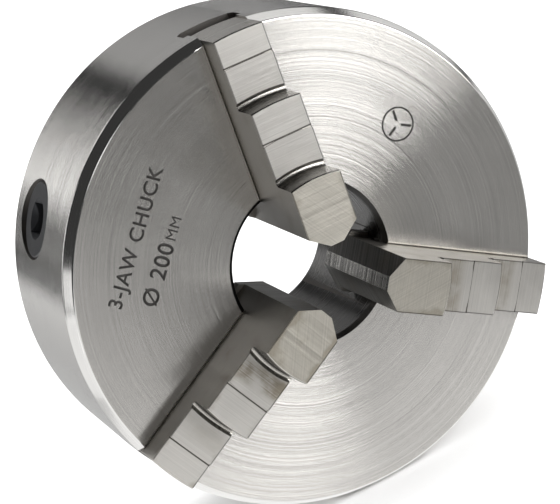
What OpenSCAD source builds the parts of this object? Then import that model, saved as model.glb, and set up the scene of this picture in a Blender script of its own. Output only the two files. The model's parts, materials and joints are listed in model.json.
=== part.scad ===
// Three-jaw self-centring lathe chuck with one-piece stepped jaws.
// The spindle axis is Y: the mounting face is the plane y = 0, the jaws point to -Y,
// and jaw 1 stands straight up (+Z). Inside the modules, local z is the depth
// measured from the mounting face towards the jaws.

/* [Body] */
// Outside diameter of the chuck
body_d = 200; // [190:1:220]
// Depth of the body, mounting face to front face
body_depth = 75; // [75:0.5:80]
// Diameter of the hole right through
bore_d = 65; // [60:0.5:66]
// Diameter of the locating recess for the adapter plate
register_d = 165; // [164.5:0.1:166]
// Depth of the locating recess
register_depth = 5; // [4:0.5:5]
// Pitch circle of the mounting threads
bolt_pcd = 180; // [179:0.5:182]
// Diameter of the mounting threads
bolt_d = 10; // [8:1:10]
// Radial width of the bevel round the front face
front_bevel_r = 2.8; // [1:0.1:3]
// Depth of the bevel round the front face
front_bevel_depth = 5; // [2:0.5:6]

/* [Jaws] */
// Radius of the gripping nose as the chuck stands
nose_r = 15.7; // [10:0.1:16]
// Width of a jaw
jaw_w = 21; // [19:0.5:21]
// Width of the guide flange under a jaw
flange_w = 25; // [24:0.5:25]
// Height of the outer, middle and inner step above the front face
step_heights = [11.8, 25.2, 38.8]; // [10:0.1:40]
// How much the inner half of a step stands above its outer half
step_rise = 0.7; // [0.3:0.1:1]
// Radius of the two gripping shoulders between the steps
shoulder_r = [42.6, 71.6]; // [40:0.1:74]
// Radius at which the middle and the outer step change height
line_r = [58.2, 87.6]; // [56:0.1:90]
// Radius of the jaw's outer end
jaw_end_r = 99.2; // [98:0.1:99.5]

/* [Scroll] */
// Distance between two turns of the scroll
scroll_pitch = 8; // [8:0.5:9]
// Width of the scroll thread
thread_w = 3.5; // [3:0.1:3.6]
// Outside radius of the scroll plate
scroll_r = 73.2; // [72.9:0.1:73.2]
// Number of teeth on the back of the scroll plate
scroll_teeth = 60; // [60:60:60]

/* [Pinions] */
// Depth of the pinion axes from the mounting face
pinion_depth = 26.8; // [26.6:0.1:27]
// Diameter of a pinion's shank
pinion_d = 31; // [30:0.5:31]
// Number of teeth on a pinion
pinion_teeth = 10; // [10:10:10]
// Size across the flats of the key's square socket
key_square = 12; // [10:1:13]
// Depth of the key socket
key_depth = 21; // [15:1:22]

/* [Hidden] */

$fn = 96;
over = 1;                  // how far a cutter runs past the face it cuts
run_gap = 0.06;            // radial clearance of a turning fit
slide_gap = 0.04;          // clearance on each side of a slideway
clamp_gap = 0.05;          // radial clearance of a screwed or doweled fit

jaw_angles = [90, 210, 330];
pinion_angles = [30, 150, 270];
screw_angles = [0, 60, 120, 180, 240, 300];
dowel_angles = [75, 255];

body_r = body_d / 2;
bore_r = bore_d / 2;
bore_bevel = 1.7;          // front edge of the bore
rear_bore_bevel = 2.5;     // rear edge of the bore
rear_bevel = 1.5;          // rear edge of the rim
rim_round = 3;             // rounds the front bevel into the rim
brow_round = 1.3;          // rounds the front bevel into the face
round_steps = 3;
hub_r = 41;                // hub that the scroll plate turns on
chamber_r = 73.5;
cover_r = 81.9;
cover_t = 6;
cover_face = register_depth + cover_t;

// Depths of the layers, from the mounting face
plate_front = 49.6;        // flat front of the scroll plate
thread_top = 53.8;         // top of the scroll thread
tooth_tip = 50.2;          // tips of the jaw teeth
flange_rear = 54.1;        // underside of a jaw's guide flange
wall_rear = 54.3;          // inner face of the front wall
groove_rear = 49.9;        // floor of the guide groove
groove_front = 59.4;       // roof of the guide groove
slot_round = 1.2;          // rounding of a slot's edges on the front face
slot_round_steps = 4;
groove_corner = 2;

// Jaw
land_half = 2.8;           // half the width of the gripping land
nose_slope = 5.8;          // length of the nose bevels along the jaw
relief_w = 2.8;            // relief groove at the foot of a shoulder
relief_depth = 1.1;
edge = 0.5;                // small edge bevel
relief_steps = 6;
flange_end_r = 94;         // outer end of the guide flange
jaw_tooth_w = 3.4;
jaw_tooth_half = 9.8;
first_tooth_r = 29;
last_tooth_r = 91;
tooth_outer_arc = 42;      // rounder than the tightest turn of the scroll
tooth_inner_arc = 77;      // flatter than its widest turn

// Scroll thread: centre line r = thread_start + pitch * turns
thread_start = 44;
thread_end = 70.8;
thread_step = 6;           // degrees between two points
turns = (thread_end - thread_start) / scroll_pitch;
thread_points = ceil(turns * 360 / thread_step);

// Bevel gearing: the pitch cones meet on the spindle axis
gear_out = 72;
gear_in = 53;
cone = pinion_teeth / scroll_teeth;           // pinion pitch radius per radius
cone_angle = atan(cone);
gear_pitch_r = gear_out * cone;
addendum = 1.7;
dedendum = 2.2;
crown_addendum = 1.4;       // lower, as the teeth keep their height to the inner end
crown_tooth_tip = 1.4;
crown_tooth_root = 2.8;
root_out = pinion_depth + gear_out * cone + dedendum;
root_in = pinion_depth + gear_in * cone + dedendum;
scroll_rear = 34;

// Pinion
pinion_r = pinion_d / 2;
pinion_end = 98.7;
shank_in = 73.9;
neck_r = 8;
journal_r = 5;
journal_end = 36.5;
journal_bore_end = 36;
ring_groove_r = 90;        // groove for the retaining screw
ring_groove_w = 5.6;
ring_groove_depth = 3;
pinion_edge = 0.8;
socket_mouth_r = 8.3;      // round mouth of the key socket, bevelled down to the square

// Rear cover and its fasteners
boss_out = 50;
boss_front = 33.7;
boss_notch_r = 7;
screw_pcr = 76.8;
cover_screw_r = 2.5;
cover_screw_head_r = 4.7;
cover_screw_len = 14;
cover_screw_key = 3;
dowel_r = 2.5;
dowel_len = 12;
dowel_start = 6;
set_screw_r = 4;
set_screw_start = 0.6;
set_screw_end = 10.4;
dog_r = 2.5;
dog_end = 14;
set_screw_key = 4;
bolt_hole_depth = 22;

// Turns local z into the depth axis: local x stays x, local y becomes z
module axial() { rotate([90, 0, 0]) children(); }

// Lays local z along the radius at the given angle, at the pinions' depth
module radial(angle) {
    rotate([0, 0, angle]) translate([0, 0, pinion_depth]) rotate([0, 90, 0]) children();
}

// A hexagon socket, measured across its flats
module hex_key(across, depth) { cylinder(d = across / cos(30), h = depth, $fn = 6); }

// Points of an arc that rounds corner b of the outline a, b, c
function rounded(a, b, c, radius) =
    let (u = (a - b) / norm(a - b), v = (c - b) / norm(c - b),
         half = acos(u * v) / 2,
         middle = b + (u + v) / norm(u + v) * radius / sin(half),
         from = b + u * radius / tan(half) - middle,
         to = b + v * radius / tan(half) - middle,
         start = atan2(from.y, from.x), sweep = atan2(to.y, to.x) - start)
    [for (i = [0 : round_steps])
        middle + radius * [cos(start + sweep * i / round_steps), sin(start + sweep * i / round_steps)]];

// ---------------------------------------------------------------- body
module body_profile() {
    rim = [body_r, body_depth - front_bevel_depth];
    brow = [body_r - front_bevel_r, body_depth];
    polygon(concat(
        [[body_r - rear_bevel, 0], [body_r, rear_bevel]],
        rounded([body_r, rear_bevel], rim, brow, rim_round),
        rounded(rim, brow, [bore_r, body_depth], brow_round),
        [[bore_r + bore_bevel, body_depth], [bore_r, body_depth - bore_bevel],
        [bore_r, register_depth + rear_bore_bevel],
        [bore_r + rear_bore_bevel, register_depth],
        [hub_r, register_depth], [hub_r, wall_rear], [chamber_r, wall_rear],
        [chamber_r, cover_face], [cover_r, cover_face], [cover_r, register_depth],
        [register_d / 2, register_depth], [register_d / 2, 0]]
    ));
}

// Cross-section of a jaw slot: x is sideways, y is the depth
module slot_section() {
    neck = jaw_w / 2 + slide_gap;
    wide = flange_w / 2 + slide_gap;
    brink = [
        for (i = [0 : slot_round_steps])
            let (turn = 180 - 90 * i / slot_round_steps)
                [neck + slot_round * (1 + cos(turn)), body_depth + slot_round * (sin(turn) - 1)]
    ];
    half = concat(
        [[wide - groove_corner, groove_rear], [wide, groove_rear + groove_corner],
         [wide, groove_front], [neck, groove_front]],
        brink,
        [[neck + slot_round, body_depth + over]]
    );
    polygon(concat(half, [for (i = [len(half) - 1 : -1 : 0]) [-half[i].x, half[i].y]]));
}

module jaw_slot(angle) {
    rotate([0, 0, angle]) rotate([90, 0, 90])
        linear_extrude(height = body_r + over) slot_section();
}

module pinion_bore(angle) {
    radial(angle) {
        translate([0, 0, hub_r + over])
            cylinder(r = pinion_r + run_gap, h = body_r - hub_r);
        translate([0, 0, body_r - sagitta(pinion_r) - pinion_edge])
            cylinder(r1 = pinion_r + run_gap, r2 = pinion_r + run_gap + pinion_edge + 2 * over,
                     h = pinion_edge + 2 * over);
        translate([0, 0, journal_bore_end])
            cylinder(r = journal_r + run_gap, h = body_r - journal_bore_end);
    }
}

// How far the rim falls away at a distance from a radius
function sagitta(half) = body_r - sqrt(body_r * body_r - half * half);

module hole_at(angle, radius, start, r, h) {
    rotate([0, 0, angle]) translate([radius, 0, start]) cylinder(r = r, h = h);
}

module body() {
    color("silver") axial() difference() {
        rotate_extrude() body_profile();
        for (a = jaw_angles) jaw_slot(a);
        for (a = pinion_angles) pinion_bore(a);
        for (a = jaw_angles) {
            hole_at(a, bolt_pcd / 2, -over, bolt_d / 2, bolt_hole_depth + over);
        }
        for (a = pinion_angles) {
            hole_at(a, ring_groove_r, -over, set_screw_r + clamp_gap, pinion_depth);
        }
        for (a = screw_angles) {
            hole_at(a, screw_pcr, cover_face - over, cover_screw_r + clamp_gap,
                    cover_screw_len - cover_t + 2 * over);
        }
        for (a = dowel_angles) {
            hole_at(a, screw_pcr, cover_face - over, dowel_r + clamp_gap / 2,
                    dowel_len - cover_t + 3 * over);
        }
    }
}

// ---------------------------------------------------------- rear cover
module rear_cover() {
    head_depth = cover_screw_head_r - cover_screw_r;
    color("gray") axial() difference() {
        union() {
            translate([0, 0, register_depth])
                cylinder(r = cover_r - clamp_gap, h = cover_t);
            translate([0, 0, register_depth])
                cylinder(r = boss_out, h = boss_front - register_depth);
        }
        cylinder(r = hub_r + clamp_gap, h = body_depth);
        for (a = pinion_angles) {
            radial(a) cylinder(r = boss_notch_r, h = chamber_r);
        }
        for (a = screw_angles) {
            hole_at(a, screw_pcr, 0, cover_screw_r + 2 * clamp_gap, body_depth);
            rotate([0, 0, a]) translate([screw_pcr, 0, register_depth - clamp_gap])
                cylinder(r1 = cover_screw_head_r + 2 * clamp_gap,
                         r2 = cover_screw_r + 2 * clamp_gap, h = head_depth);
        }
        for (a = dowel_angles) {
            hole_at(a, screw_pcr, 0, dowel_r + clamp_gap / 2, body_depth);
        }
    }
}

module cover_screw(angle) {
    head_depth = cover_screw_head_r - cover_screw_r;
    color("dimgray") axial() rotate([0, 0, angle]) translate([screw_pcr, 0, register_depth])
        difference() {
            union() {
                cylinder(r = cover_screw_r, h = cover_screw_len);
                cylinder(r1 = cover_screw_head_r, r2 = cover_screw_r, h = head_depth);
            }
            translate([0, 0, -over]) hex_key(cover_screw_key, head_depth + over);
        }
}

module cover_dowel(angle) {
    color("lightgray") axial() rotate([0, 0, angle]) translate([screw_pcr, 0, dowel_start]) {
        cylinder(r1 = dowel_r - edge, r2 = dowel_r, h = edge);
        translate([0, 0, edge]) cylinder(r = dowel_r, h = dowel_len - 2 * edge);
        translate([0, 0, dowel_len - edge]) cylinder(r1 = dowel_r, r2 = dowel_r - edge, h = edge);
    }
}

module pinion_retaining_screw(angle) {
    color("dimgray") axial() rotate([0, 0, angle]) translate([ring_groove_r, 0, 0])
        difference() {
            union() {
                translate([0, 0, set_screw_start])
                    cylinder(r = set_screw_r, h = set_screw_end - set_screw_start);
                translate([0, 0, set_screw_start]) cylinder(r = dog_r, h = dog_end - set_screw_start);
            }
            translate([0, 0, set_screw_start - over]) hex_key(set_screw_key, 4 + over);
        }
}

// -------------------------------------------------------- scroll plate
function thread_radius(turn) = thread_start + scroll_pitch * turn;

function thread_side(side) = [
    for (i = [0 : thread_points])
        let (turn = turns * i / thread_points, r = thread_radius(turn) + side * thread_w / 2)
            [r * cos(360 * turn), r * sin(360 * turn)]
];

module scroll_thread() {
    outer = thread_side(1);
    inner = thread_side(-1);
    translate([0, 0, plate_front - edge]) linear_extrude(height = thread_top - plate_front + edge)
        polygon(concat(outer, [for (i = [thread_points : -1 : 0]) inner[i]]));
}

module crown_tooth() {
    height = crown_addendum + dedendum;
    depth_mid = pinion_depth + (gear_out + gear_in) / 2 * cone;
    length = (gear_out - gear_in) / cos(cone_angle);
    translate([(gear_out + gear_in) / 2, 0, depth_mid]) rotate([0, -cone_angle, 0])
        rotate([90, 0, 90]) linear_extrude(height = length, center = true)
            polygon([
                [-crown_tooth_tip / 2, -crown_addendum], [crown_tooth_tip / 2, -crown_addendum],
                [crown_tooth_root / 2, dedendum], [crown_tooth_root / 2, height],
                [-crown_tooth_root / 2, height], [-crown_tooth_root / 2, dedendum]
            ]);
}

module scroll_plate() {
    color("darkgray") axial() union() {
        rotate_extrude() polygon([
            [hub_r + run_gap, scroll_rear], [gear_in - 2, scroll_rear], [gear_in - 2, root_in],
            [gear_in, root_in], [gear_out, root_out], [scroll_r, root_out],
            [scroll_r, plate_front], [hub_r + run_gap, plate_front]
        ]);
        scroll_thread();
        for (i = [0 : scroll_teeth - 1]) rotate([0, 0, (i + 0.5) * 360 / scroll_teeth]) crown_tooth();
    }
}

// ---------------------------------------------------------------- jaws
// A relief groove dips from the step's level between two radii
function relief(level, shoulder) = [
    for (i = [0 : relief_steps])
        [shoulder + relief_w * (1 - i / relief_steps),
         level - relief_depth * sin(180 * i / relief_steps)]
];

// Turned profile of the three steps: x is the radius, y is the depth
module step_profile() {
    low = body_depth + step_heights[0];
    mid = body_depth + step_heights[1];
    top = body_depth + step_heights[2];
    polygon(concat(
        [[0, groove_front + slide_gap], [jaw_end_r, groove_front + slide_gap],
         [jaw_end_r, low - edge], [jaw_end_r - edge, low],
         [line_r[1], low], [line_r[1], low + step_rise]],
        relief(low + step_rise, shoulder_r[1]),
        [[shoulder_r[1], mid - edge], [shoulder_r[1] - edge, mid],
         [line_r[0], mid], [line_r[0], mid + step_rise]],
        relief(mid + step_rise, shoulder_r[0]),
        [[shoulder_r[0], top - edge], [shoulder_r[0] - edge, top], [0, top]]
    ));
}

// A bar as wide as asked, from the nose outwards, that bounds one layer of a jaw
module jaw_bar(width, start, end) {
    translate([nose_r, -width / 2, start]) cube([body_r, width, end - start]);
}

// Cuts away one of the two bevels that leave the gripping land between them
module nose_bevel(side) {
    spread = (jaw_w / 2 - land_half) / nose_slope;
    reach = flange_w / 2;
    linear_extrude(height = 2 * body_depth) polygon([
        [nose_r - over, side * (land_half - spread * over)],
        [nose_r + reach, side * (land_half + spread * reach)],
        [nose_r - over, side * (land_half + spread * reach)]
    ]);
}

module jaw_tooth(r) {
    depth = flange_rear - tooth_tip + edge;
    translate([0, 0, tooth_tip]) difference() {
        intersection() {
            translate([r + jaw_tooth_w / 2 - tooth_outer_arc, 0, 0])
                cylinder(r = tooth_outer_arc, h = depth);
            translate([r - 2 * jaw_tooth_w, -jaw_tooth_half, 0])
                cube([3 * jaw_tooth_w, 2 * jaw_tooth_half, depth]);
        }
        translate([r - jaw_tooth_w / 2 - tooth_inner_arc, 0, -over])
            cylinder(r = tooth_inner_arc, h = depth + 2 * over);
    }
}

module jaw(angle) {
    phase = thread_start + scroll_pitch * (angle / 360 + 0.5);
    first = ceil((first_tooth_r - phase) / scroll_pitch);
    last = floor((last_tooth_r - phase) / scroll_pitch);
    flange_front = groove_front - slide_gap;
    color("lightgray") axial() rotate([0, 0, angle]) difference() {
        union() {
            intersection() {
                rotate([0, 0, 180]) rotate_extrude() step_profile();
                jaw_bar(jaw_w, 0, 2 * body_depth);
            }
            intersection() {
                cylinder(r = flange_end_r, h = body_depth);
                union() {
                    jaw_bar(flange_w, flange_rear, flange_front);
                    jaw_bar(jaw_w, flange_rear, flange_front + edge);
                }
            }
            for (n = [first : last]) jaw_tooth(phase + n * scroll_pitch);
        }
        for (side = [-1, 1]) nose_bevel(side);
    }
}

// ------------------------------------------------------------- pinions
// Outline of the pinion's teeth at their outer end
module pinion_outline() {
    tip = gear_pitch_r + addendum;
    root = gear_pitch_r - dedendum;
    tooth = 360 / pinion_teeth;
    polygon([
        for (i = [0 : pinion_teeth - 1])
            for (p = [[root, -0.29], [tip, -0.09], [tip, 0.09], [root, 0.29]])
                [p[0] * cos(tooth * (i + p[1])), p[0] * sin(tooth * (i + p[1]))]
    ]);
}

module pinion(angle) {
    color("dimgray") axial() radial(angle) difference() {
        union() {
            // teeth taper towards the spindle axis
            translate([0, 0, gear_out]) mirror([0, 0, 1])
                linear_extrude(height = gear_out - gear_in, scale = gear_in / gear_out)
                    pinion_outline();
            translate([0, 0, gear_out - edge])
                cylinder(r = neck_r, h = shank_in - gear_out + 2 * edge);
            translate([0, 0, shank_in])
                cylinder(r = pinion_r, h = pinion_end - pinion_edge - shank_in);
            translate([0, 0, pinion_end - pinion_edge])
                cylinder(r1 = pinion_r, r2 = pinion_r - pinion_edge, h = pinion_edge);
            translate([0, 0, journal_end]) cylinder(r = journal_r, h = gear_out - journal_end);
        }
        translate([0, 0, ring_groove_r - ring_groove_w / 2]) difference() {
            cylinder(r = pinion_r + over, h = ring_groove_w);
            translate([0, 0, -over])
                cylinder(r = pinion_r - ring_groove_depth, h = ring_groove_w + 2 * over);
        }
        translate([-key_square / 2, -key_square / 2, pinion_end - key_depth])
            cube([key_square, key_square, key_depth + over]);
        translate([0, 0, pinion_end - socket_mouth_r + key_square / 2])
            cylinder(r1 = key_square / 2, r2 = socket_mouth_r + over,
                     h = socket_mouth_r - key_square / 2 + over);
    }
}

body();
rear_cover();
scroll_plate();
jaw(jaw_angles[0]);  // jaw_1
jaw(jaw_angles[1]);  // jaw_2
jaw(jaw_angles[2]);  // jaw_3
pinion(pinion_angles[0]);  // pinion_1
pinion(pinion_angles[1]);  // pinion_2
pinion(pinion_angles[2]);  // pinion_3
pinion_retaining_screw(pinion_angles[0]);  // pinion_retaining_screw_1
pinion_retaining_screw(pinion_angles[1]);  // pinion_retaining_screw_2
pinion_retaining_screw(pinion_angles[2]);  // pinion_retaining_screw_3
cover_screw(screw_angles[0]);  // cover_screw_1
cover_screw(screw_angles[1]);  // cover_screw_2
cover_screw(screw_angles[2]);  // cover_screw_3
cover_screw(screw_angles[3]);  // cover_screw_4
cover_screw(screw_angles[4]);  // cover_screw_5
cover_screw(screw_angles[5]);  // cover_screw_6
cover_dowel(dowel_angles[0]);  // cover_dowel_1
cover_dowel(dowel_angles[1]);  // cover_dowel_2
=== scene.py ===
"""Three-jaw self-centring lathe chuck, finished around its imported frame.

The frame holds the true sizes. This script gives every piece its finished surface: turned,
ground, blackened and milled steel and etched marks. It softens the edges of the jaws and the
pinions, and sets the light and the camera.
Lengths are metres. The spindle axis is Y, the face looks to -Y and jaw 1 stands up along +Z.
"""

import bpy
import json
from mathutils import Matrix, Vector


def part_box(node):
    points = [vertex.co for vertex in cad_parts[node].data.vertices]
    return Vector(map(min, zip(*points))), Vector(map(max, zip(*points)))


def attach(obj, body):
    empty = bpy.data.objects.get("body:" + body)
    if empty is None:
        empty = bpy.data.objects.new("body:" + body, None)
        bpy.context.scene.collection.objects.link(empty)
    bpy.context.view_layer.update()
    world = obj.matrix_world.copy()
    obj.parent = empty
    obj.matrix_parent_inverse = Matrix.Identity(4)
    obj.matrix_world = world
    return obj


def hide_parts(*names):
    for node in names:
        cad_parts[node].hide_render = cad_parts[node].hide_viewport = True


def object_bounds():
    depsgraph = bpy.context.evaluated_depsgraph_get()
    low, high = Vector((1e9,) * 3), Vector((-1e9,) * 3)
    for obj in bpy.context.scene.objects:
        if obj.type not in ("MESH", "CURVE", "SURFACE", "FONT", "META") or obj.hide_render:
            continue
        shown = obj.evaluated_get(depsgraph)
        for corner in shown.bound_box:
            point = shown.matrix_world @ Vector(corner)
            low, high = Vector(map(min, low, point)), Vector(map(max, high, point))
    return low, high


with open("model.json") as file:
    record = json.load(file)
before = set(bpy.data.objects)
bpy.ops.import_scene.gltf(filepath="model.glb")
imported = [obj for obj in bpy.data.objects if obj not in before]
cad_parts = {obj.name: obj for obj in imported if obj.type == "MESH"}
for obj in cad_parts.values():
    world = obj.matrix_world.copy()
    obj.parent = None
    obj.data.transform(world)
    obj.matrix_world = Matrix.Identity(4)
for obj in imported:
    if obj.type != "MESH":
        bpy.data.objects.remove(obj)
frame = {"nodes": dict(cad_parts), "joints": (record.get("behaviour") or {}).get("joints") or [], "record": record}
CAD_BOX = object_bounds()
CAD_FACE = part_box("body")[0].y

import json
import logging
import math
from dataclasses import dataclass
from enum import Enum
from typing import Callable, Optional, Sequence, Union

import bpy
from mathutils import Matrix, Vector

LOG = logging.getLogger("lathe_chuck")
MM = 0.001
SPINDLE = Vector((0.0, 1.0, 0.0))

# Degrees from +X towards +Z
JAW_ANGLES = (90.0, 210.0, 330.0)
PINION_ANGLES = (30.0, 150.0, 270.0)
# How stained each jaw is by its inner and its outer corner
JAW_STAINS = ((0.0, 0.0), (1.0, 0.25), (0.7, 0.7))

# Brings Blender's noise, which stays near 0.5, to about -1 to 1
NOISE_GAIN = 2.6

# Cleaning and softening of meshes: a distance in metres, angles in degrees
MERGE_DISTANCE = 1e-6
FLAT_ANGLE = 0.15
BEVEL_ANGLE = 35.0
BEVEL_SEGMENTS = 3
SMOOTH_ANGLE = 31.0

Colour = tuple[float, float, float]


# ------------------------------------------------------------------ shader maths
class Wire:
    """A value in a node tree, with the arithmetic that the finishes need."""

    def __init__(self, shader: "Shader", socket: bpy.types.NodeSocket) -> None:
        """Wraps a socket of a shader."""
        self.shader = shader
        self.socket = socket

    def __add__(self, other: "Number") -> "Wire":
        """Sum."""
        return self.shader.math("ADD", self, other)

    __radd__ = __add__

    def __mul__(self, other: "Number") -> "Wire":
        """Product."""
        return self.shader.math("MULTIPLY", self, other)

    __rmul__ = __mul__

    def __sub__(self, other: "Number") -> "Wire":
        """Difference."""
        return self.shader.math("SUBTRACT", self, other)

    def __rsub__(self, other: "Number") -> "Wire":
        """Difference, reflected."""
        return self.shader.math("SUBTRACT", other, self)

    def __abs__(self) -> "Wire":
        """Size without its sign."""
        return self.shader.math("ABSOLUTE", self)

    def step(self, low: float, high: float) -> "Wire":
        """Smooth ramp from 0 at low to 1 at high; the other way round if low is above high.

        Args:
            low: Value at which the ramp is 0.
            high: Value at which the ramp is 1.

        Returns:
            The ramp.
        """
        backwards = low > high
        ramp = self.shader.node(
            "ShaderNodeMapRange", {"interpolation_type": "SMOOTHSTEP"},
            {"Value": self, "From Min": min(low, high), "From Max": max(low, high)})
        return 1.0 - ramp if backwards else ramp

    def band(self, centre: float, half: float, soft: float) -> "Wire":
        """1 within half of centre, falling to 0 over soft.

        Args:
            centre: Middle of the band.
            half: Half its width.
            soft: Width of each soft edge.

        Returns:
            The band.
        """
        return abs(self - centre).step(half + soft, half)


Number = Union[Wire, float]


class Shader:
    """A material's node tree, written as Python expressions."""

    def __init__(self, name: str) -> None:
        """Starts an empty material.

        Args:
            name: Name of the material.
        """
        self.material = bpy.data.materials.new(name)
        self.material.use_nodes = True
        self.tree = self.material.node_tree
        self.tree.nodes.clear()
        place = self.tree.nodes.new("ShaderNodeTexCoord")
        self.place = Wire(self, place.outputs["Object"])
        normal = self.tree.nodes.new("ShaderNodeNewGeometry")
        self.normal = Wire(self, normal.outputs["Normal"])

    def node(self, kind: str, settings: Optional[dict] = None,
             inputs: Optional[dict] = None, output: Union[int, str] = 0) -> Wire:
        """Adds any node: its settings first, then its sockets.

        Args:
            kind: The node's type.
            settings: Properties of the node, such as its operation.
            inputs: Values or wires by socket name or number.
            output: Which output to hand back.

        Returns:
            That output.
        """
        made = self.tree.nodes.new(kind)
        for key, value in (settings or {}).items():
            setattr(made, key, value)
        for key, value in (inputs or {}).items():
            if isinstance(value, Wire):
                self.tree.links.new(value.socket, made.inputs[key])
            else:
                made.inputs[key].default_value = value
        return Wire(self, made.outputs[output])

    def math(self, operation: str, *values: Number) -> Wire:
        """A Math node on numbers."""
        return self.node("ShaderNodeMath", {"operation": operation}, dict(enumerate(values)))

    def vector(self, operation: str, *values: Union[Wire, Sequence[float]],
               output: str = "Vector") -> Wire:
        """A Vector Math node."""
        return self.node("ShaderNodeVectorMath", {"operation": operation},
                         dict(enumerate(values)), output)

    def scaled(self, vector: Wire, factor: Number) -> Wire:
        """A vector times a number."""
        return self.node("ShaderNodeVectorMath", {"operation": "SCALE"},
                         {0: vector, "Scale": factor})

    def dot(self, vector: Wire, direction: Sequence[float]) -> Wire:
        """How far a vector reaches along a direction."""
        return self.vector("DOT_PRODUCT", vector, tuple(direction), output="Value")

    def noise(self, scale: float, detail: float = 2.0, along: Optional[Wire] = None,
              stretch: Sequence[float] = (1.0, 1.0, 1.0)) -> Wire:
        """Noise from about -1 to 1.

        Args:
            scale: Spots per metre.
            detail: Octaves.
            along: Where given, the noise varies along this value only.
            stretch: Scale along each axis, for noise in space.

        Returns:
            The noise.
        """
        if along is not None:
            raw = self.node("ShaderNodeTexNoise", {"noise_dimensions": "1D"},
                            {"W": along, "Scale": scale, "Detail": detail})
        else:
            spread = self.vector("MULTIPLY", self.place, stretch)
            raw = self.node("ShaderNodeTexNoise", {"noise_dimensions": "3D"},
                            {"Vector": spread, "Scale": scale, "Detail": detail})
        return (raw - 0.5) * NOISE_GAIN

    def tint(self, mask: Number, under: Union[Wire, Colour], over: Union[Wire, Colour]) -> Wire:
        """Mixes two colours by a mask.

        Args:
            mask: 0 for the colour under, 1 for the colour over.
            under: Colour where the mask is 0.
            over: Colour where the mask is 1.

        Returns:
            The mixed colour.
        """
        ends = [c if isinstance(c, Wire) else (*c, 1.0) for c in (under, over)]
        return self.node("ShaderNodeMix", {"data_type": "RGBA"},
                         {0: mask, 6: ends[0], 7: ends[1]}, 2)

    def shade(self, colour: Union[Wire, Colour], factor: Number) -> Wire:
        """Brightens or darkens a colour.

        Args:
            colour: The colour.
            factor: What it is multiplied by.

        Returns:
            The new colour.
        """
        base = colour if isinstance(colour, Wire) else (*colour, 1.0)
        grey = self.node("ShaderNodeCombineColor", {}, {0: factor, 1: factor, 2: factor})
        return self.node("ShaderNodeMix", {"data_type": "RGBA", "blend_type": "MULTIPLY",
                                           "clamp_result": False},
                         {0: 1.0, 6: base, 7: grey}, 2)

    def finish(self, colour: Union[Wire, Colour], roughness: Number, metallic: Number = 1.0,
               normal: Optional[Wire] = None) -> bpy.types.Material:
        """Closes the tree with its shader.

        Args:
            colour: Base colour.
            roughness: Roughness.
            metallic: Metallic.
            normal: Normal, where the finish bends it.

        Returns:
            The material.
        """
        inputs = {"Base Color": colour if isinstance(colour, Wire) else (*colour, 1.0),
                  "Roughness": roughness, "Metallic": metallic}
        if normal is not None:
            inputs["Normal"] = normal
        surface = self.node("ShaderNodeBsdfPrincipled", {}, inputs)
        self.node_output(surface)
        return self.material

    def node_output(self, surface: Wire) -> None:
        """Joins a surface to the material's output."""
        end = self.tree.nodes.new("ShaderNodeOutputMaterial")
        self.tree.links.new(surface.socket, end.inputs["Surface"])


# ---------------------------------------------------------------------- finishes
@dataclass(frozen=True)
class TurnedSteel:
    """Steel cut on a lathe: grooves round the spindle fan the light out across them."""

    name: str
    colour: Colour = (0.56, 0.545, 0.52)
    roughness: float = 0.17
    spread: float = 0.7
    groove: float = 0.035 * MM
    ring: float = 0.45 * MM
    ring_relief: float = 0.025
    ring_contrast: float = 0.085
    patch_contrast: float = 0.05
    stain: float = 0.0
    grime_and_shade_radii: tuple[float, ...] = ()
    height_share: float = 0.63
    ring_detail: float = 0.7
    patches_per_metre: float = 34.0
    spots_per_metre: float = 60.0
    stain_colour: Colour = (0.34, 0.29, 0.22)
    grime_and_shade_half: float = 0.12 * MM
    grime_and_shade_soft: float = 0.35 * MM
    grime_and_shade_strength: float = 0.75

    def grooves(self, shader: Shader) -> tuple[Wire, Wire, Wire]:
        """Works out the groove field.

        Args:
            shader: The shader to write in.

        Returns:
            The bent normal, the coordinate that runs across the grooves, and the radius.
        """
        along = shader.vector("CROSS_PRODUCT", tuple(SPINDLE), shader.place)
        radius = shader.vector("LENGTH", along, output="Value")
        across = radius + shader.dot(shader.place, SPINDLE) * self.height_share
        turned = shader.node("ShaderNodeVectorTransform",
                             {"vector_type": "VECTOR", "convert_from": "OBJECT",
                              "convert_to": "WORLD"},
                             {"Vector": shader.vector("NORMALIZE", along)})
        lean = shader.vector("NORMALIZE", shader.vector("CROSS_PRODUCT", shader.normal, turned))
        fine = shader.noise(1.0 / self.groove, 1.0, across)
        coarse = shader.noise(1.0 / self.ring, 3.0, across)
        tilt = (fine + coarse * self.ring_relief) * self.spread
        bent = shader.vector("ADD", shader.normal, shader.scaled(lean, tilt))
        return shader.vector("NORMALIZE", bent), across, radius

    def build(self) -> bpy.types.Material:
        """Builds the material.

        Returns:
            The material.
        """
        shader = Shader(self.name)
        normal, across, radius = self.grooves(shader)
        rings = shader.noise(self.ring_detail / self.ring, 4.0, across) * self.ring_contrast
        patches = shader.noise(self.patches_per_metre, 3.0) * self.patch_contrast
        colour = shader.shade(self.colour, 1.0 + rings + patches)
        if self.stain:
            spots = shader.noise(self.spots_per_metre, 4.0).step(0.25, 0.9) * self.stain
            colour = shader.tint(spots, colour, self.stain_colour)
        # Dark lines at the given radii: grime and painted shade in the corners.
        for line in self.grime_and_shade_radii:
            grime_and_shade = radius.band(line, self.grime_and_shade_half, self.grime_and_shade_soft)
            colour = shader.shade(colour, 1.0 - grime_and_shade * self.grime_and_shade_strength)
        roughness = self.roughness + rings * 0.5 + patches * 0.6
        return shader.finish(colour, roughness, 1.0, normal)


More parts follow.
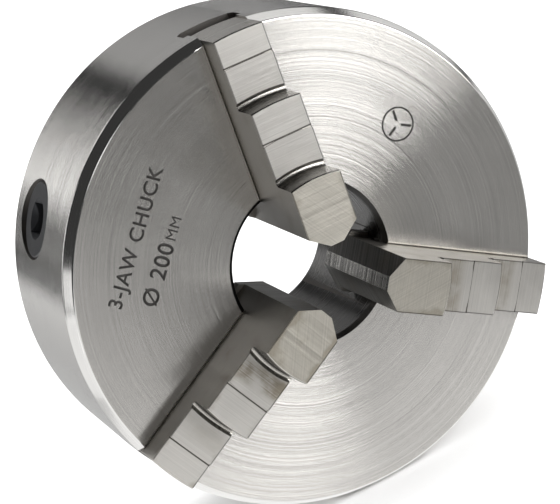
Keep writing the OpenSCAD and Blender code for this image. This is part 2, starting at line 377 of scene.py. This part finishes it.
@dataclass(frozen=True)
class GroundSteel:
    """Flat-ground steel: straight fine scratches along one direction."""

    name: str
    along: tuple[float, float, float]
    colour: Colour = (0.42, 0.40, 0.375)
    roughness: float = 0.34
    spread: float = 0.16
    grain: float = 0.12 * MM
    stain: float = 0.35
    lines: float = 0.12
    stain_colour: Colour = (0.21, 0.18, 0.14)
    clouds_per_metre: float = 85.0
    grains_per_streak: float = 4.0

    def build(self) -> bpy.types.Material:
        """Builds the material.

        Returns:
            The material.
        """
        shader = Shader(self.name)
        lean = shader.vector("NORMALIZE",
                             shader.vector("CROSS_PRODUCT", shader.normal, self.along))
        across = shader.vector("LENGTH", shader.vector("CROSS_PRODUCT", self.along, shader.place),
                               output="Value")
        fine = shader.noise(1.0 / self.grain, 2.0, across)
        bent = shader.vector("ADD", shader.normal, shader.scaled(lean, fine * self.spread))
        cloud = shader.noise(self.clouds_per_metre, 4.0)
        smear = cloud.step(-0.1, 0.9) * self.stain
        streaks = shader.noise(1.0 / (self.grains_per_streak * self.grain), 4.0, across)
        shine = 1.0 + cloud * 0.08 + streaks * self.lines
        colour = shader.tint(smear, shader.shade(self.colour, shine), self.stain_colour)
        return shader.finish(colour, self.roughness + cloud * 0.07, 1.0,
                             shader.vector("NORMALIZE", bent))


@dataclass(frozen=True)
class BlackOxide:
    """Blackened steel, worn brighter at the rim of its outer end, with painted shade of the gap round it."""

    name: str
    axis: tuple[float, float, float]
    centre: tuple[float, float, float]
    rim_radius: float
    end: float
    colour: Colour = (0.030, 0.031, 0.034)
    worn_colour: Colour = (0.34, 0.33, 0.32)
    worn_half: float = 0.2 * MM
    worn_soft: float = 0.6 * MM
    worn_start: float = 1.4 * MM
    worn_full: float = 0.4 * MM
    gap_shade_start: float = 0.1 * MM
    gap_shade_full: float = 0.2 * MM
    speckle_depth: float = 0.05 * MM

    def build(self) -> bpy.types.Material:
        """Builds the material.

        Returns:
            The material.
        """
        shader = Shader(self.name)
        arm = shader.vector("SUBTRACT", shader.place, self.centre)
        radius = shader.vector("LENGTH", shader.vector("CROSS_PRODUCT", self.axis, arm),
                               output="Value")
        height = shader.dot(arm, self.axis)
        speckle = shader.noise(900.0, 3.0)
        cloud = shader.noise(140.0, 3.0)
        edge = (radius.band(self.rim_radius, self.worn_half, self.worn_soft)
                * height.step(self.end - self.worn_start, self.end - self.worn_full)
                * (speckle * 0.5 + cloud * 0.6 + 0.45).step(0.1, 0.9))
        colour = shader.tint(edge * 0.4, shader.shade(self.colour, 1.0 + cloud * 0.3),
                             self.worn_colour)
        # A dark ring at the pinion's edge: painted shade of the gap between the pinion and its hole.
        painted_gap_shade = radius.step(self.rim_radius - self.gap_shade_start, self.rim_radius + self.gap_shade_full)
        colour = shader.shade(colour, 1.0 - painted_gap_shade * 0.85)
        bump = shader.node("ShaderNodeBump", {}, {"Strength": 0.25, "Height": speckle,
                                                  "Distance": self.speckle_depth})
        return shader.finish(colour, 0.46 + cloud * 0.08 - edge * 0.12, 0.75, bump)


@dataclass(frozen=True)
class EtchedMark:
    """Laser-darkened steel of the marks on the face."""

    name: str

    def build(self) -> bpy.types.Material:
        """Builds the material.

        Returns:
            The material.
        """
        shader = Shader(self.name)
        mottled = shader.noise(1500.0, 2.0)
        colour = shader.shade((0.022, 0.020, 0.018), 1.0 + mottled * 0.4)
        return shader.finish(colour, 0.6 + mottled * 0.08, 0.3)


@dataclass(frozen=True)
class PaleFloor:
    """Plain matt studio paper."""

    name: str
    colour: Colour = (0.86, 0.86, 0.86)

    def build(self) -> bpy.types.Material:
        """Builds the material.

        Returns:
            The material.
        """
        shader = Shader(self.name)
        fibre = shader.noise(400.0, 2.0)
        return shader.finish(shader.shade(self.colour, 1.0 + fibre * 0.006), 0.9, 0.0)


# ------------------------------------------------------------------ mesh helpers
def select_only(piece: bpy.types.Object) -> None:
    """Selects one object and makes it active.

    Args:
        piece: The object.
    """
    bpy.ops.object.select_all(action="DESELECT")
    piece.select_set(True)
    bpy.context.view_layer.objects.active = piece


def settle(piece: bpy.types.Object) -> None:
    """Moves an object's place into its mesh, so the object sits at the origin."""
    select_only(piece)
    bpy.ops.object.transform_apply(location=True, rotation=True, scale=True)


def soften(piece: bpy.types.Object, width: float) -> None:
    """Bevels the sharp edges of a piece and smooths its shading, with flat faces kept flat.

    Args:
        piece: The piece.
        width: Width of the bevel, or 0 for none.
    """
    select_only(piece)
    if width > 0:
        bevel = piece.modifiers.new("edges", "BEVEL")
        bevel.width = width
        bevel.segments = BEVEL_SEGMENTS
        bevel.limit_method = "ANGLE"
        bevel.angle_limit = math.radians(BEVEL_ANGLE)
        bpy.ops.object.modifier_apply(modifier=bevel.name)
    bpy.ops.object.shade_smooth_by_angle(angle=math.radians(SMOOTH_ANGLE))
    flat = piece.modifiers.new("flat_faces", "WEIGHTED_NORMAL")
    flat.keep_sharp = True
    flat.weight = 100
    bpy.ops.object.modifier_apply(modifier=flat.name)


def cleaned_copy(node: str, name: str) -> bpy.types.Object:
    """Copies a frame node's mesh, merges its loose triangles and joins its flat ones.

    Args:
        node: The frame node.
        name: Name of the new piece.

    Returns:
        The new piece.
    """
    mesh = frame["nodes"][node].data.copy()
    mesh.name = name
    mesh.materials.clear()
    piece = bpy.data.objects.new(name, mesh)
    bpy.context.scene.collection.objects.link(piece)
    select_only(piece)
    bpy.ops.mesh.customdata_custom_splitnormals_clear()
    bpy.ops.object.mode_set(mode="EDIT")
    bpy.ops.mesh.select_all(action="SELECT")
    bpy.ops.mesh.remove_doubles(threshold=MERGE_DISTANCE)
    bpy.ops.mesh.dissolve_limited(angle_limit=math.radians(FLAT_ANGLE))
    bpy.ops.object.mode_set(mode="OBJECT")
    return piece


def paint_faces(piece: bpy.types.Object, finishes: Sequence[bpy.types.Material],
                choose: Callable[[Vector, Vector], int]) -> None:
    """Gives each face the finish that a rule picks from its centre and normal.

    Args:
        piece: The piece.
        finishes: Materials of the piece.
        choose: Rule that returns the number of a finish.
    """
    piece.data.materials.clear()
    for finish in finishes:
        piece.data.materials.append(finish)
    for face in piece.data.polygons:
        face.material_index = choose(face.center, face.normal)


def body_of(node: str) -> str:
    """Finds the moving body that a frame node belongs to.

    Args:
        node: The frame node.

    Returns:
        Name of the body.
    """
    for body, nodes in frame["record"]["behaviour"]["bodies"].items():
        if node in nodes:
            return body
    raise KeyError(node)


def place_piece(piece: bpy.types.Object, body: str,
                replaced: Sequence[str] = ()) -> None:
    """Lets a piece ride on its body and reports it.

    Args:
        piece: The finished piece.
        body: Body it moves with.
        replaced: Frame nodes that it stands for.
    """
    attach(piece, body)
    if replaced:
        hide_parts(*replaced)
    LOG.info("%s rides on %s, %d faces", piece.name, body, len(piece.data.polygons))


def radial(angle: float) -> Vector:
    """Direction out from the spindle axis at an angle in degrees from +X towards +Z."""
    turn = math.radians(angle)
    return Vector((math.cos(turn), 0.0, math.sin(turn)))


# -------------------------------------------------------------- sub-assemblies
class Zone(Enum):
    """Faces of the chuck body by the way they are cut."""

    FACE = 0
    RIM = 1
    BORE = 2
    MILLED = 3
    BACK = 4
    BEVEL = 5
    DRILLED = 6
    SLOT_EDGE = 7


@dataclass
class ChuckBody:
    """The body: turned all over, with milled slots and drilled holes."""

    rim_zone: float = 96.5 * MM
    brow_zone: float = 95.5 * MM
    bore_zone: float = 35.5 * MM
    pinion_height: float = -26.8 * MM
    pinion_zone: float = 17.0 * MM
    face_slack: float = 0.3 * MM
    slot_edge_depth: float = 2.0 * MM
    end_on: float = 0.9
    square_on: float = 0.97
    slope_end: float = 0.99
    slope_start: float = 0.1
    bevel_facing: float = 0.2
    wall_facing: float = 0.3

    def zone(self, centre: Vector, normal: Vector) -> int:
        """Finish number of a face.

        Args:
            centre: Centre of the face.
            normal: Its normal.

        Returns:
            Number of its zone.
        """
        # The walls and mouth chamfers of the pinion holes take the near-black drilled finish: painted shade round
        # the pinions.
        for angle in PINION_ANGLES:
            arm = centre - radial(angle) * centre.dot(radial(angle)) - self.pinion_height * SPINDLE
            if arm.length < self.pinion_zone and abs(normal.dot(radial(angle))) < self.end_on:
                return Zone.DRILLED.value
        outward = Vector((centre.x, 0.0, centre.z))
        radius = outward.length
        facing = normal.dot(outward.normalized()) if radius else 0.0
        depth = abs(centre.y - CAD_FACE)
        # Square faces sunk below the face, such as the T-slot floors, fall through to the milled finish and its
        # painted shade.
        if normal.y < -self.square_on and depth < self.face_slack:
            return Zone.FACE.value
        if normal.y > self.square_on:
            return Zone.BACK.value
        if (radius > self.brow_zone and -self.square_on < normal.y < -self.slope_start
                and facing > self.bevel_facing):
            return Zone.BEVEL.value
        if radius > self.rim_zone and facing > self.wall_facing:
            return Zone.RIM.value
        if (-self.slope_end < normal.y < -self.slope_start and depth < self.slot_edge_depth
                and radius > self.bore_zone):
            along = [centre.dot(radial(angle)) for angle in JAW_ANGLES]
            return Zone.SLOT_EDGE.value + along.index(max(along))
        if radius < self.bore_zone and facing < -self.wall_facing:
            return Zone.BORE.value
        return Zone.MILLED.value

    def build(self) -> None:
        """Builds the body."""
        piece = cleaned_copy("body", "chuck_body_turned")
        soften(piece, 0.0)
        finishes = [
            TurnedSteel("turned_face").build(),
            TurnedSteel("turned_rim", roughness=0.13, spread=0.32, ring_contrast=0.05).build(),
            # The bore's steel is given a near-black colour: painted shade and a painted dark reflection inside the
            # bore.
            TurnedSteel("bored_steel_with_painted_shade", colour=(0.085, 0.083, 0.08), roughness=0.24,
                        spread=0.3, ring_contrast=0.2).build(),
            # Slot walls and sunken slot floors: milled steel, darker partly as oily steel and partly as painted
            # shade of the recesses.
            GroundSteel("milled_slot_with_painted_shade", along=(0.0, 1.0, 0.0), colour=(0.27, 0.255, 0.24)).build(),
            TurnedSteel("turned_back", colour=(0.55, 0.53, 0.5), roughness=0.26,
                        spread=0.4).build(),
            # The front bevel is the face's turned steel given a brighter colour: a painted highlight.
            TurnedSteel("turned_bevel_with_painted_highlight", colour=(0.80, 0.79, 0.77), roughness=0.14,
                        spread=0.12).build(),
            # Pinion holes: dark steel whose near-black colour is painted shade in the hole and at its mouth.
            GroundSteel("drilled_bore_with_painted_shade", along=(0.0, 1.0, 0.0), colour=(0.07, 0.065, 0.06),
                        roughness=0.5).build(),
        ]
        # Slot edges: burnished steel whose near-white colour is a painted highlight, a glint along each edge.
        for number, angle in enumerate(JAW_ANGLES, start=1):
            finishes.append(GroundSteel(
                f"burnished_edge_with_painted_glint_{number}", along=tuple(radial(angle)), colour=(0.92, 0.90, 0.87),
                roughness=0.3, spread=0.5, stain=0.05, lines=0.0).build())
        paint_faces(piece, finishes, self.zone)
        place_piece(piece, body_of("body"), ["body"])


@dataclass
class FaceMarks:
    """Plain marks etched on the face: the size, a jaw count and a small chuck sign."""

    cap_height: float = 6.6 * MM
    small_height: float = 4.4 * MM
    line_height: float = 5.8 * MM
    capital: float = 0.72
    bold: float = 0.014
    proud: float = 0.02 * MM
    heading: float = 51.0
    spacing: float = 1.08
    size_start: tuple[float, float] = (-65.0 * MM, 10.4 * MM)
    unit_start: tuple[float, float] = (-48.6 * MM, 31.2 * MM)
    kind_start: tuple[float, float] = (-78.0 * MM, 15.6 * MM)
    sign_centre: tuple[float, float] = (53.5 * MM, 36.5 * MM)
    sign_radius: float = 7.0 * MM
    stroke: float = 0.7 * MM
    ring_sides: int = 72
    bar_length: float = 0.62
    bar_place: float = 0.52
    bar_strokes: float = 1.5

    def build(self) -> None:
        """Builds the marks."""
        finish = EtchedMark("etched_mark").build()
        lines = (
            ("size_mark", "\u00d8 200", self.size_start, self.cap_height, self.bold),
            ("unit_mark", "MM", self.unit_start, self.small_height, 0.0),
            ("kind_mark", "3-JAW CHUCK", self.kind_start, self.line_height, self.bold),
        )
        for name, words, start, height, offset in lines:
            self.place(self.letters(name, words, start, height, offset), finish)
        self.place(self.sign("chuck_sign", self.sign_centre, self.sign_radius), finish)

    def letters(self, name: str, words: str, start: tuple[float, float],
                height: float, offset: float) -> bpy.types.Object:
        """Sets a line of plain letters on the face.

        Args:
            name: Name of the piece.
            words: What it says.
            start: X and Z of the line's lower left corner.
            height: Height of its capitals.
            offset: How much the strokes are fattened, as a part of the letter's size.

        Returns:
            The letters as a thin mesh.
        """
        bpy.ops.object.select_all(action="DESELECT")
        bpy.ops.object.text_add(location=(start[0], CAD_FACE, start[1]))
        text = bpy.context.active_object
        text.name = name
        text.data.body = words
        text.data.space_character = self.spacing
        text.data.resolution_u = 6
        text.data.offset = offset
        select_only(text)
        bpy.ops.object.convert(target="MESH")
        text = bpy.context.active_object
        text.scale = (height / self.capital,) * 3
        text.rotation_euler = (math.radians(90.0), math.radians(-self.heading), 0.0)
        settle(text)
        self.thicken(text)
        return text

    def sign(self, name: str, centre: tuple[float, float], radius: float) -> bpy.types.Object:
        """A ring with three short bars, the plain sign of a three-jaw chuck.

        Args:
            name: Name of the piece.
            centre: X and Z of its centre.
            radius: Its outer radius.

        Returns:
            The sign as a thin mesh.
        """
        bpy.ops.object.select_all(action="DESELECT")
        bpy.ops.mesh.primitive_circle_add(vertices=self.ring_sides, radius=radius,
                                          fill_type="NGON")
        sign = bpy.context.active_object
        sign.name = name
        bpy.ops.object.mode_set(mode="EDIT")
        bpy.ops.mesh.select_all(action="SELECT")
        bpy.ops.mesh.inset(thickness=self.stroke)
        bpy.ops.mesh.delete(type="FACE")
        for turn in JAW_ANGLES:
            bpy.ops.mesh.primitive_plane_add(size=1.0)
            bpy.ops.transform.resize(value=(radius * self.bar_length,
                                            self.stroke * self.bar_strokes, 1.0))
            bpy.ops.transform.translate(value=(radius * self.bar_place, 0.0, 0.0))
            bpy.ops.transform.rotate(value=math.radians(-turn), orient_axis="Z",
                                     center_override=(0.0, 0.0, 0.0))
            bpy.ops.mesh.select_all(action="DESELECT")
        bpy.ops.object.mode_set(mode="OBJECT")
        sign.rotation_euler = (math.radians(90.0), 0.0, 0.0)
        sign.location = (centre[0], CAD_FACE, centre[1])
        settle(sign)
        self.thicken(sign)
        return sign

    def thicken(self, mark: bpy.types.Object) -> None:
        """Gives a flat mark a thin body, a third of which stands proud of the face.

        Args:
            mark: The mark.
        """
        select_only(mark)
        solid = mark.modifiers.new("depth", "SOLIDIFY")
        solid.thickness = 3 * self.proud
        solid.offset = -1.0
        bpy.ops.object.modifier_apply(modifier=solid.name)
        mark.location = (0.0, -self.proud, 0.0)
        settle(mark)

    def place(self, mark: bpy.types.Object, finish: bpy.types.Material) -> None:
        """Dresses a mark and lets it ride on the body.

        Args:
            mark: The mark.
            finish: Its material.
        """
        mark.data.materials.clear()
        mark.data.materials.append(finish)
        place_piece(mark, body_of("body"))


class JawZone(Enum):
    """Faces of a jaw."""

    STEP = 0
    SIDE = 1
    SHOULDER = 2
    NOSE = 3
    GUIDE = 4
    GRIP = 5


@dataclass(frozen=True)
class JawSteel:
    """Ground steps of a jaw: straight scratches across it, grime and painted shade in the corners, painted shade
    along its side edges, old stains.
    """

    name: str
    outward: tuple[float, float, float]
    corners: tuple[float, ...]
    pad_end: float
    colour: Colour = (0.64, 0.62, 0.585)
    pad_colour: Colour = (0.60, 0.57, 0.505)
    stain_colour: Colour = (0.21, 0.18, 0.13)
    grime_and_shade_colour: Colour = (0.045, 0.038, 0.030)
    roughness: float = 0.36
    spread: float = 0.42
    scratch: float = 0.10 * MM
    half_width: float = 10.5 * MM
    stained: tuple[float, float] = (0.0, 0.0)
    baked_back: float = 8.5 * MM
    baked_half: float = 2.0 * MM
    baked_soft: float = 4.5 * MM
    wander: float = 0.12 * MM
    pad_soft: float = 0.2 * MM
    edge_stain: float = 4.0 * MM
    grime_and_shade_out: float = 0.05 * MM
    grime_and_shade_half: float = 0.16 * MM
    grime_and_shade_soft: float = 0.22 * MM
    edge_shade_start: float = 0.6 * MM
    edge_shade_full: float = 0.3 * MM
    most_stain: float = 0.85
    most_grime_and_shade: float = 0.88

    def build(self) -> bpy.types.Material:
        """Builds the material.

        Returns:
            The material.
        """
        shader = Shader(self.name)
        side = SPINDLE.cross(Vector(self.outward))
        out = shader.dot(shader.place, self.outward)
        aside = shader.dot(shader.place, side)
        lean = shader.vector("NORMALIZE",
                             shader.vector("CROSS_PRODUCT", shader.normal, tuple(side)))
        wander = shader.noise(220.0, 2.0) * self.wander
        fine = shader.noise(1.0 / self.scratch, 1.0, out + wander)
        lines = shader.noise(2200.0, 3.0, out + wander * 0.6)
        bent = shader.vector("ADD", shader.normal,
                             shader.scaled(lean, fine * self.spread + lines * 0.03))
        pad = out.step(self.pad_end + self.pad_soft, self.pad_end - self.pad_soft)
        cloud = shader.noise(120.0, 4.0)
        colour = shader.tint(pad, self.colour, self.pad_colour)
        hatch = shader.noise(1700.0, 3.0, out * 0.55 + aside * 0.83 + wander) * pad
        age = max(self.stained)
        shine = 1.0 - 0.16 * age + lines * 0.13 + cloud * 0.04 + hatch * 0.13
        colour = shader.shade(colour, shine)
        edge_on = abs(aside).step(self.half_width - self.edge_stain, self.half_width)
        old = ((cloud + edge_on * 0.7 + pad * 0.35 + age * 0.3 - 0.75).step(0.0, 0.7)
               * (0.25 + pad * 0.15 + age * 0.15))
        mottled = (cloud * 0.8 + lines * 0.5 + 0.55).step(0.0, 1.0)
        for corner, stained in zip(self.corners, self.stained):
            baked = out.band(corner - self.baked_back, self.baked_half, self.baked_soft)
            old = old + baked * mottled * stained
        old = shader.math("MINIMUM", old, self.most_stain)
        colour = shader.tint(old, colour, self.stain_colour)
        # Dark lines at the step corners: grime and painted shade.
        grime_and_shade = sum(out.band(corner + self.grime_and_shade_out, self.grime_and_shade_half, self.grime_and_shade_soft)
                    for corner in self.corners)
        colour = shader.tint(shader.math("MINIMUM", grime_and_shade, self.most_grime_and_shade), colour,
                             self.grime_and_shade_colour)
        # A dark line along both side edges of the steps: painted shade.
        painted_edge_shade = abs(aside).step(self.half_width - self.edge_shade_start,
                                      self.half_width - self.edge_shade_full)
        colour = shader.shade(colour, 1.0 - painted_edge_shade * 0.6)
        roughness = self.roughness + cloud * 0.05 + old * 0.12 + grime_and_shade * 0.2
        return shader.finish(colour, roughness, 1.0, shader.vector("NORMALIZE", bent))


@dataclass
class Jaw:
    """A stepped jaw, named by its number and the angle it stands at."""

    number: int
    angle: float
    edge: float = 0.22 * MM
    step_corners: tuple[float, ...] = (58.2 * MM, 87.6 * MM)
    shoulders: tuple[float, ...] = (42.6 * MM, 71.6 * MM)
    relief: float = 2.9 * MM
    stained: tuple[float, float] = (0.0, 0.0)
    guide_depth: float = 15.4 * MM
    shoulder_slack: float = 0.02 * MM
    shoulder_grime_and_shade: float = 0.1 * MM
    side_facing: float = 0.85
    grip_facing: float = 0.95
    nose_facing: float = 0.3
    shoulder_facing: float = 0.6

    def zone(self, centre: Vector, normal: Vector) -> int:
        """Finish number of a face.

        Args:
            centre: Centre of the face.
            normal: Its normal.

        Returns:
            Number of its zone.
        """
        outward = radial(self.angle)
        side = SPINDLE.cross(outward)
        out = centre.dot(outward)
        if centre.y > CAD_FACE + self.guide_depth:
            return JawZone.GUIDE.value
        if abs(normal.dot(side)) > self.side_facing:
            return JawZone.SIDE.value
        if normal.dot(outward) < -self.grip_facing:
            return JawZone.GRIP.value
        if normal.dot(outward) < -self.nose_facing:
            return JawZone.NOSE.value
        near = any(self.shoulder_slack < out - s < self.relief for s in self.shoulders)
        if near or normal.dot(outward) > self.shoulder_facing:
            return JawZone.SHOULDER.value
        return JawZone.STEP.value

    def build(self) -> None:
        """Builds the jaw."""
        node = f"jaw_{self.number}"
        piece = cleaned_copy(node, f"stepped_jaw_{self.number}")
        soften(piece, self.edge)
        outward = tuple(radial(self.angle))
        # Dark lines at both edges of each shoulder's relief: grime and painted shade in the corners.
        grime_and_shade = tuple(s + offset for s in self.shoulders
                      for offset in (self.shoulder_grime_and_shade, self.relief))
        finishes = [
            JawSteel(f"jaw_steps_{self.number}", outward, self.step_corners,
                     self.shoulders[0], stained=self.stained).build(),
            # The sides are given a darker colour than the steps: painted shade, over real stains.
            GroundSteel(f"jaw_sides_with_painted_shade_{self.number}", along=outward, colour=(0.35, 0.335, 0.31),
                        roughness=0.34, stain=0.35 + 0.4 * max(self.stained)).build(),
            TurnedSteel(f"jaw_shoulders_{self.number}", colour=(0.52, 0.50, 0.465),
                        roughness=0.24, spread=0.3, stain=0.4, grime_and_shade_radii=grime_and_shade).build(),
            # The nose is given a much darker colour than the steps: painted shade on its bevels.
            GroundSteel(f"jaw_nose_with_painted_shade_{self.number}", along=(0.45, 0.75, 0.48),
                        colour=(0.17, 0.165, 0.155), spread=0.34, grain=0.3 * MM, stain=0.5,
                        lines=0.6).build(),
            # The guides, deep in the slots, are given a dark colour: painted shade, over real stains.
            GroundSteel(f"jaw_guide_with_painted_shade_{self.number}", along=outward, colour=(0.20, 0.19, 0.175),
                        stain=0.6).build(),
            # The grip land's strong light and dark streaks are partly grinding marks, partly painted highlights
            # and shade of its ribs.
            GroundSteel(f"jaw_grip_with_painted_rib_light_{self.number}", along=tuple(SPINDLE.cross(radial(self.angle))),
                        colour=(0.42, 0.41, 0.39), roughness=0.22, spread=0.3, grain=0.45 * MM,
                        stain=0.2, lines=1.1).build(),
        ]
        paint_faces(piece, finishes, self.zone)
        place_piece(piece, body_of(node), [node])


@dataclass
class Pinion:
    """A blackened pinion with its square key socket."""

    number: int
    angle: float
    edge: float = 0.2 * MM
    rim_radius: float = 15.2 * MM

    def build(self) -> None:
        """Builds the pinion."""
        node = f"pinion_{self.number}"
        piece = cleaned_copy(node, f"key_pinion_{self.number}")
        soften(piece, self.edge)
        joint = next(j for j in frame["joints"] if j["child"] == body_of(node))
        outward = radial(self.angle)
        reach = max(vertex.co.dot(outward) for vertex in piece.data.vertices)
        centre = Vector(joint["pos_m"])
        finish = BlackOxide(f"black_oxide_{self.number}", tuple(outward), tuple(centre),
                            self.rim_radius, reach - centre.dot(outward)).build()
        paint_faces(piece, [finish], lambda centre, normal: 0)
        place_piece(piece, body_of(node), [node])


@dataclass
class InnerParts:
    """Scroll plate, rear cover and fasteners."""

    cover_groove: float = 0.35 * MM

    def build(self) -> None:
        """Builds the inner parts and the fasteners."""
        scroll = TurnedSteel("scroll_turned", colour=(0.40, 0.385, 0.37), roughness=0.3,
                             spread=0.3).build()
        cover = TurnedSteel("cover_turned", colour=(0.47, 0.455, 0.44), roughness=0.3,
                            spread=0.3, groove=self.cover_groove).build()
        screw = TurnedSteel("fastener_black", colour=(0.09, 0.088, 0.088), roughness=0.36,
                            spread=0.12).build()
        dowel = TurnedSteel("dowel_ground", colour=(0.58, 0.57, 0.55), roughness=0.2,
                            spread=0.15).build()
        for node in sorted(frame["nodes"]):
            if node == "scroll_plate":
                self.dress(node, "scroll_plate_cut", scroll)
            elif node == "rear_cover":
                self.dress(node, "rear_cover_turned", cover)
            elif "screw" in node:
                self.dress(node, f"{node}_blackened", screw)
            elif "dowel" in node:
                self.dress(node, f"{node}_ground", dowel)

    def dress(self, node: str, name: str, finish: bpy.types.Material) -> None:
        """Makes one finished piece out of a frame node.

        Args:
            node: The frame node.
            name: Name of the piece.
            finish: Its material.
        """
        piece = cleaned_copy(node, name)
        soften(piece, 0.0)
        paint_faces(piece, [finish], lambda centre, normal: 0)
        place_piece(piece, body_of(node), [node])


# ------------------------------------------------------------------------ studio
@dataclass(frozen=True)
class Softbox:
    """A studio light that looks at the chuck."""

    name: str
    direction: tuple[float, float, float]
    distance: float
    width: float
    height: float
    radiance: float
    colour: Colour = (1.0, 1.0, 1.0)
    reflected: bool = True

    def build(self, target: Vector) -> None:
        """Sets the light up.

        Args:
            target: Point that it faces.
        """
        data = bpy.data.lights.new(self.name, "AREA")
        data.shape = "RECTANGLE"
        data.size = self.width
        data.size_y = self.height
        data.energy = self.radiance * math.pi * self.width * self.height
        data.color = self.colour
        light = bpy.data.objects.new(self.name, data)
        bpy.context.scene.collection.objects.link(light)
        away = Vector(self.direction).normalized()
        light.location = target + away * self.distance
        light.rotation_euler = away.to_track_quat("Z", "Y").to_euler()
        light.visible_camera = False
        light.visible_glossy = self.reflected


@dataclass(frozen=True)
class ReflectionCard:
    """A card laid just over the floor, which shows in reflections only."""

    name: str
    low: tuple[float, float]
    high: tuple[float, float]
    radiance: float
    lift: float = 2.0 * MM

    def build(self, level: float) -> None:
        """Lays the card.

        Args:
            level: Height of the floor.
        """
        bpy.ops.object.select_all(action="DESELECT")
        middle = [(a + b) / 2 for a, b in zip(self.low, self.high)]
        bpy.ops.mesh.primitive_plane_add(size=1.0, location=(*middle, level + self.lift))
        card = bpy.context.active_object
        card.name = f"studio_{self.name}"
        card.scale = (self.high[0] - self.low[0], self.high[1] - self.low[1], 1.0)
        settle(card)
        shader = Shader(self.name)
        grey = (self.radiance, self.radiance, self.radiance, 1.0)
        shader.node_output(shader.node("ShaderNodeEmission", {}, {"Color": grey}))
        card.data.materials.append(shader.material)
        card.visible_camera = False
        card.visible_diffuse = False
        card.visible_shadow = False


@dataclass
class Studio:
    """Floor, sky, lights and camera."""

    eye: tuple[float, float, float] = (-0.23285, -0.79456, 0.24803)
    forward: tuple[float, float, float] = (0.2815, 0.9108, -0.3020)
    up: tuple[float, float, float] = (0.4123, 0.1695, 0.8952)
    lens: float = 130.0
    sensor: float = 36.0
    nearest: float = 0.01
    farthest: float = 50.0
    floor_size: float = 12.0
    sky: float = 1.0
    surround: float = 0.04

    def build(self) -> None:
        """Builds the studio."""
        low, high = CAD_BOX
        self.build_floor(low.z)
        self.build_sky()
        target = (low + high) / 2
        for light in (
            Softbox("key_softbox", (0.66, -0.66, 0.36), 1.6, 1.35, 1.35, 5.0),
            Softbox("rear_left_softbox", (-0.35, 0.84, 0.40), 1.6, 0.44, 0.9, 1.6),
            Softbox("rear_softbox", (0.23, 0.84, 0.50), 1.6, 0.76, 0.9, 0.5),
            Softbox("right_top_softbox", (0.55, 0.30, 0.78), 1.5, 1.3, 0.7, 0.8),
            Softbox("camera_fill", (-0.42, -0.78, 0.50), 1.5, 0.5, 0.4, 1.6),
            Softbox("left_softbox", (-0.95, 0.16, 0.11), 1.6, 0.5, 0.34, 1.0),
            Softbox("left_strip", (-0.74, 0.62, 0.26), 1.6, 0.26, 0.9, 1.5),
            Softbox("right_softbox", (0.84, 0.45, 0.27), 1.6, 0.6, 0.8, 0.75),
            Softbox("backdrop_glow", (0.10, 1.0, 0.06), 1.9, 3.6, 0.4, 0.22),
            Softbox("overhead_wash", (-0.1, 0.2, 1.0), 2.6, 4.8, 4.8, 0.9, reflected=False),
        ):
            light.build(target)
        for card in (
            ReflectionCard("dark_card", (-0.02, -2.0), (2.0, -0.24), 0.33),
            ReflectionCard("pale_card", (-2.0, -2.0), (-0.02, -0.24), 0.86),
            ReflectionCard("near_card", (-0.5, -0.24), (0.12, -0.02), 1.05),
            ReflectionCard("side_card", (0.12, -0.24), (2.0, -0.02), 0.33),
            ReflectionCard("white_card", (-0.24, -0.02), (1.6, 0.75), 0.62),
            ReflectionCard("left_card", (-1.6, -0.02), (-0.24, 0.75), 0.95),
            ReflectionCard("far_card", (-3.0, 0.75), (3.0, 4.0), 0.12),
        ):
            card.build(low.z)
        self.build_camera()

    def build_floor(self, level: float) -> None:
        """Lays the floor under the chuck.

        Args:
            level: Its height.
        """
        bpy.ops.object.select_all(action="DESELECT")
        bpy.ops.mesh.primitive_plane_add(size=self.floor_size, location=(0.0, 0.0, level))
        floor = bpy.context.active_object
        floor.name = "studio_floor"
        floor.data.materials.append(PaleFloor("studio_paper").build())
        settle(floor)

    def build_sky(self) -> None:
        """Makes the surround: it looks pale and lights matt things, and is dim in reflections."""
        world = bpy.data.worlds.new("studio_surround")
        bpy.context.scene.world = world
        world.use_nodes = True
        nodes = world.node_tree.nodes
        nodes.clear()
        backgrounds = []
        for strength in (self.surround, self.sky):
            background = nodes.new("ShaderNodeBackground")
            background.inputs["Color"].default_value = (1.0, 1.0, 1.0, 1.0)
            background.inputs["Strength"].default_value = strength
            backgrounds.append(background)
        path = nodes.new("ShaderNodeLightPath")
        pale = nodes.new("ShaderNodeMath")
        pale.operation = "MAXIMUM"
        mix = nodes.new("ShaderNodeMixShader")
        end = nodes.new("ShaderNodeOutputWorld")
        links = world.node_tree.links
        links.new(path.outputs["Is Camera Ray"], pale.inputs[0])
        links.new(path.outputs["Is Diffuse Ray"], pale.inputs[1])
        links.new(pale.outputs[0], mix.inputs[0])
        links.new(backgrounds[0].outputs[0], mix.inputs[1])
        links.new(backgrounds[1].outputs[0], mix.inputs[2])
        links.new(mix.outputs[0], end.inputs["Surface"])

    def build_camera(self) -> None:
        """Sets the camera."""
        data = bpy.data.cameras.new("studio_camera")
        data.lens = self.lens
        data.sensor_width = self.sensor
        data.clip_start = self.nearest
        data.clip_end = self.farthest
        camera = bpy.data.objects.new("studio_camera", data)
        bpy.context.scene.collection.objects.link(camera)
        forward = Vector(self.forward).normalized()
        right = forward.cross(Vector(self.up)).normalized()
        upward = right.cross(forward)
        turn = Matrix((right, upward, -forward)).transposed()
        camera.matrix_world = Matrix.Translation(Vector(self.eye)) @ turn.to_4x4()
        bpy.context.scene.camera = camera
        bpy.context.scene.view_settings.view_transform = "Standard"


def main() -> None:
    logging.basicConfig(level=logging.INFO, format="%(name)s: %(message)s")
    ChuckBody().build()
    FaceMarks().build()
    for number, (angle, stained) in enumerate(zip(JAW_ANGLES, JAW_STAINS), start=1):
        Jaw(number, angle, stained=stained).build()
    for number, angle in enumerate(PINION_ANGLES, start=1):
        Pinion(number, angle).build()
    InnerParts().build()
    Studio().build()


if __name__ == "__main__":
    main()
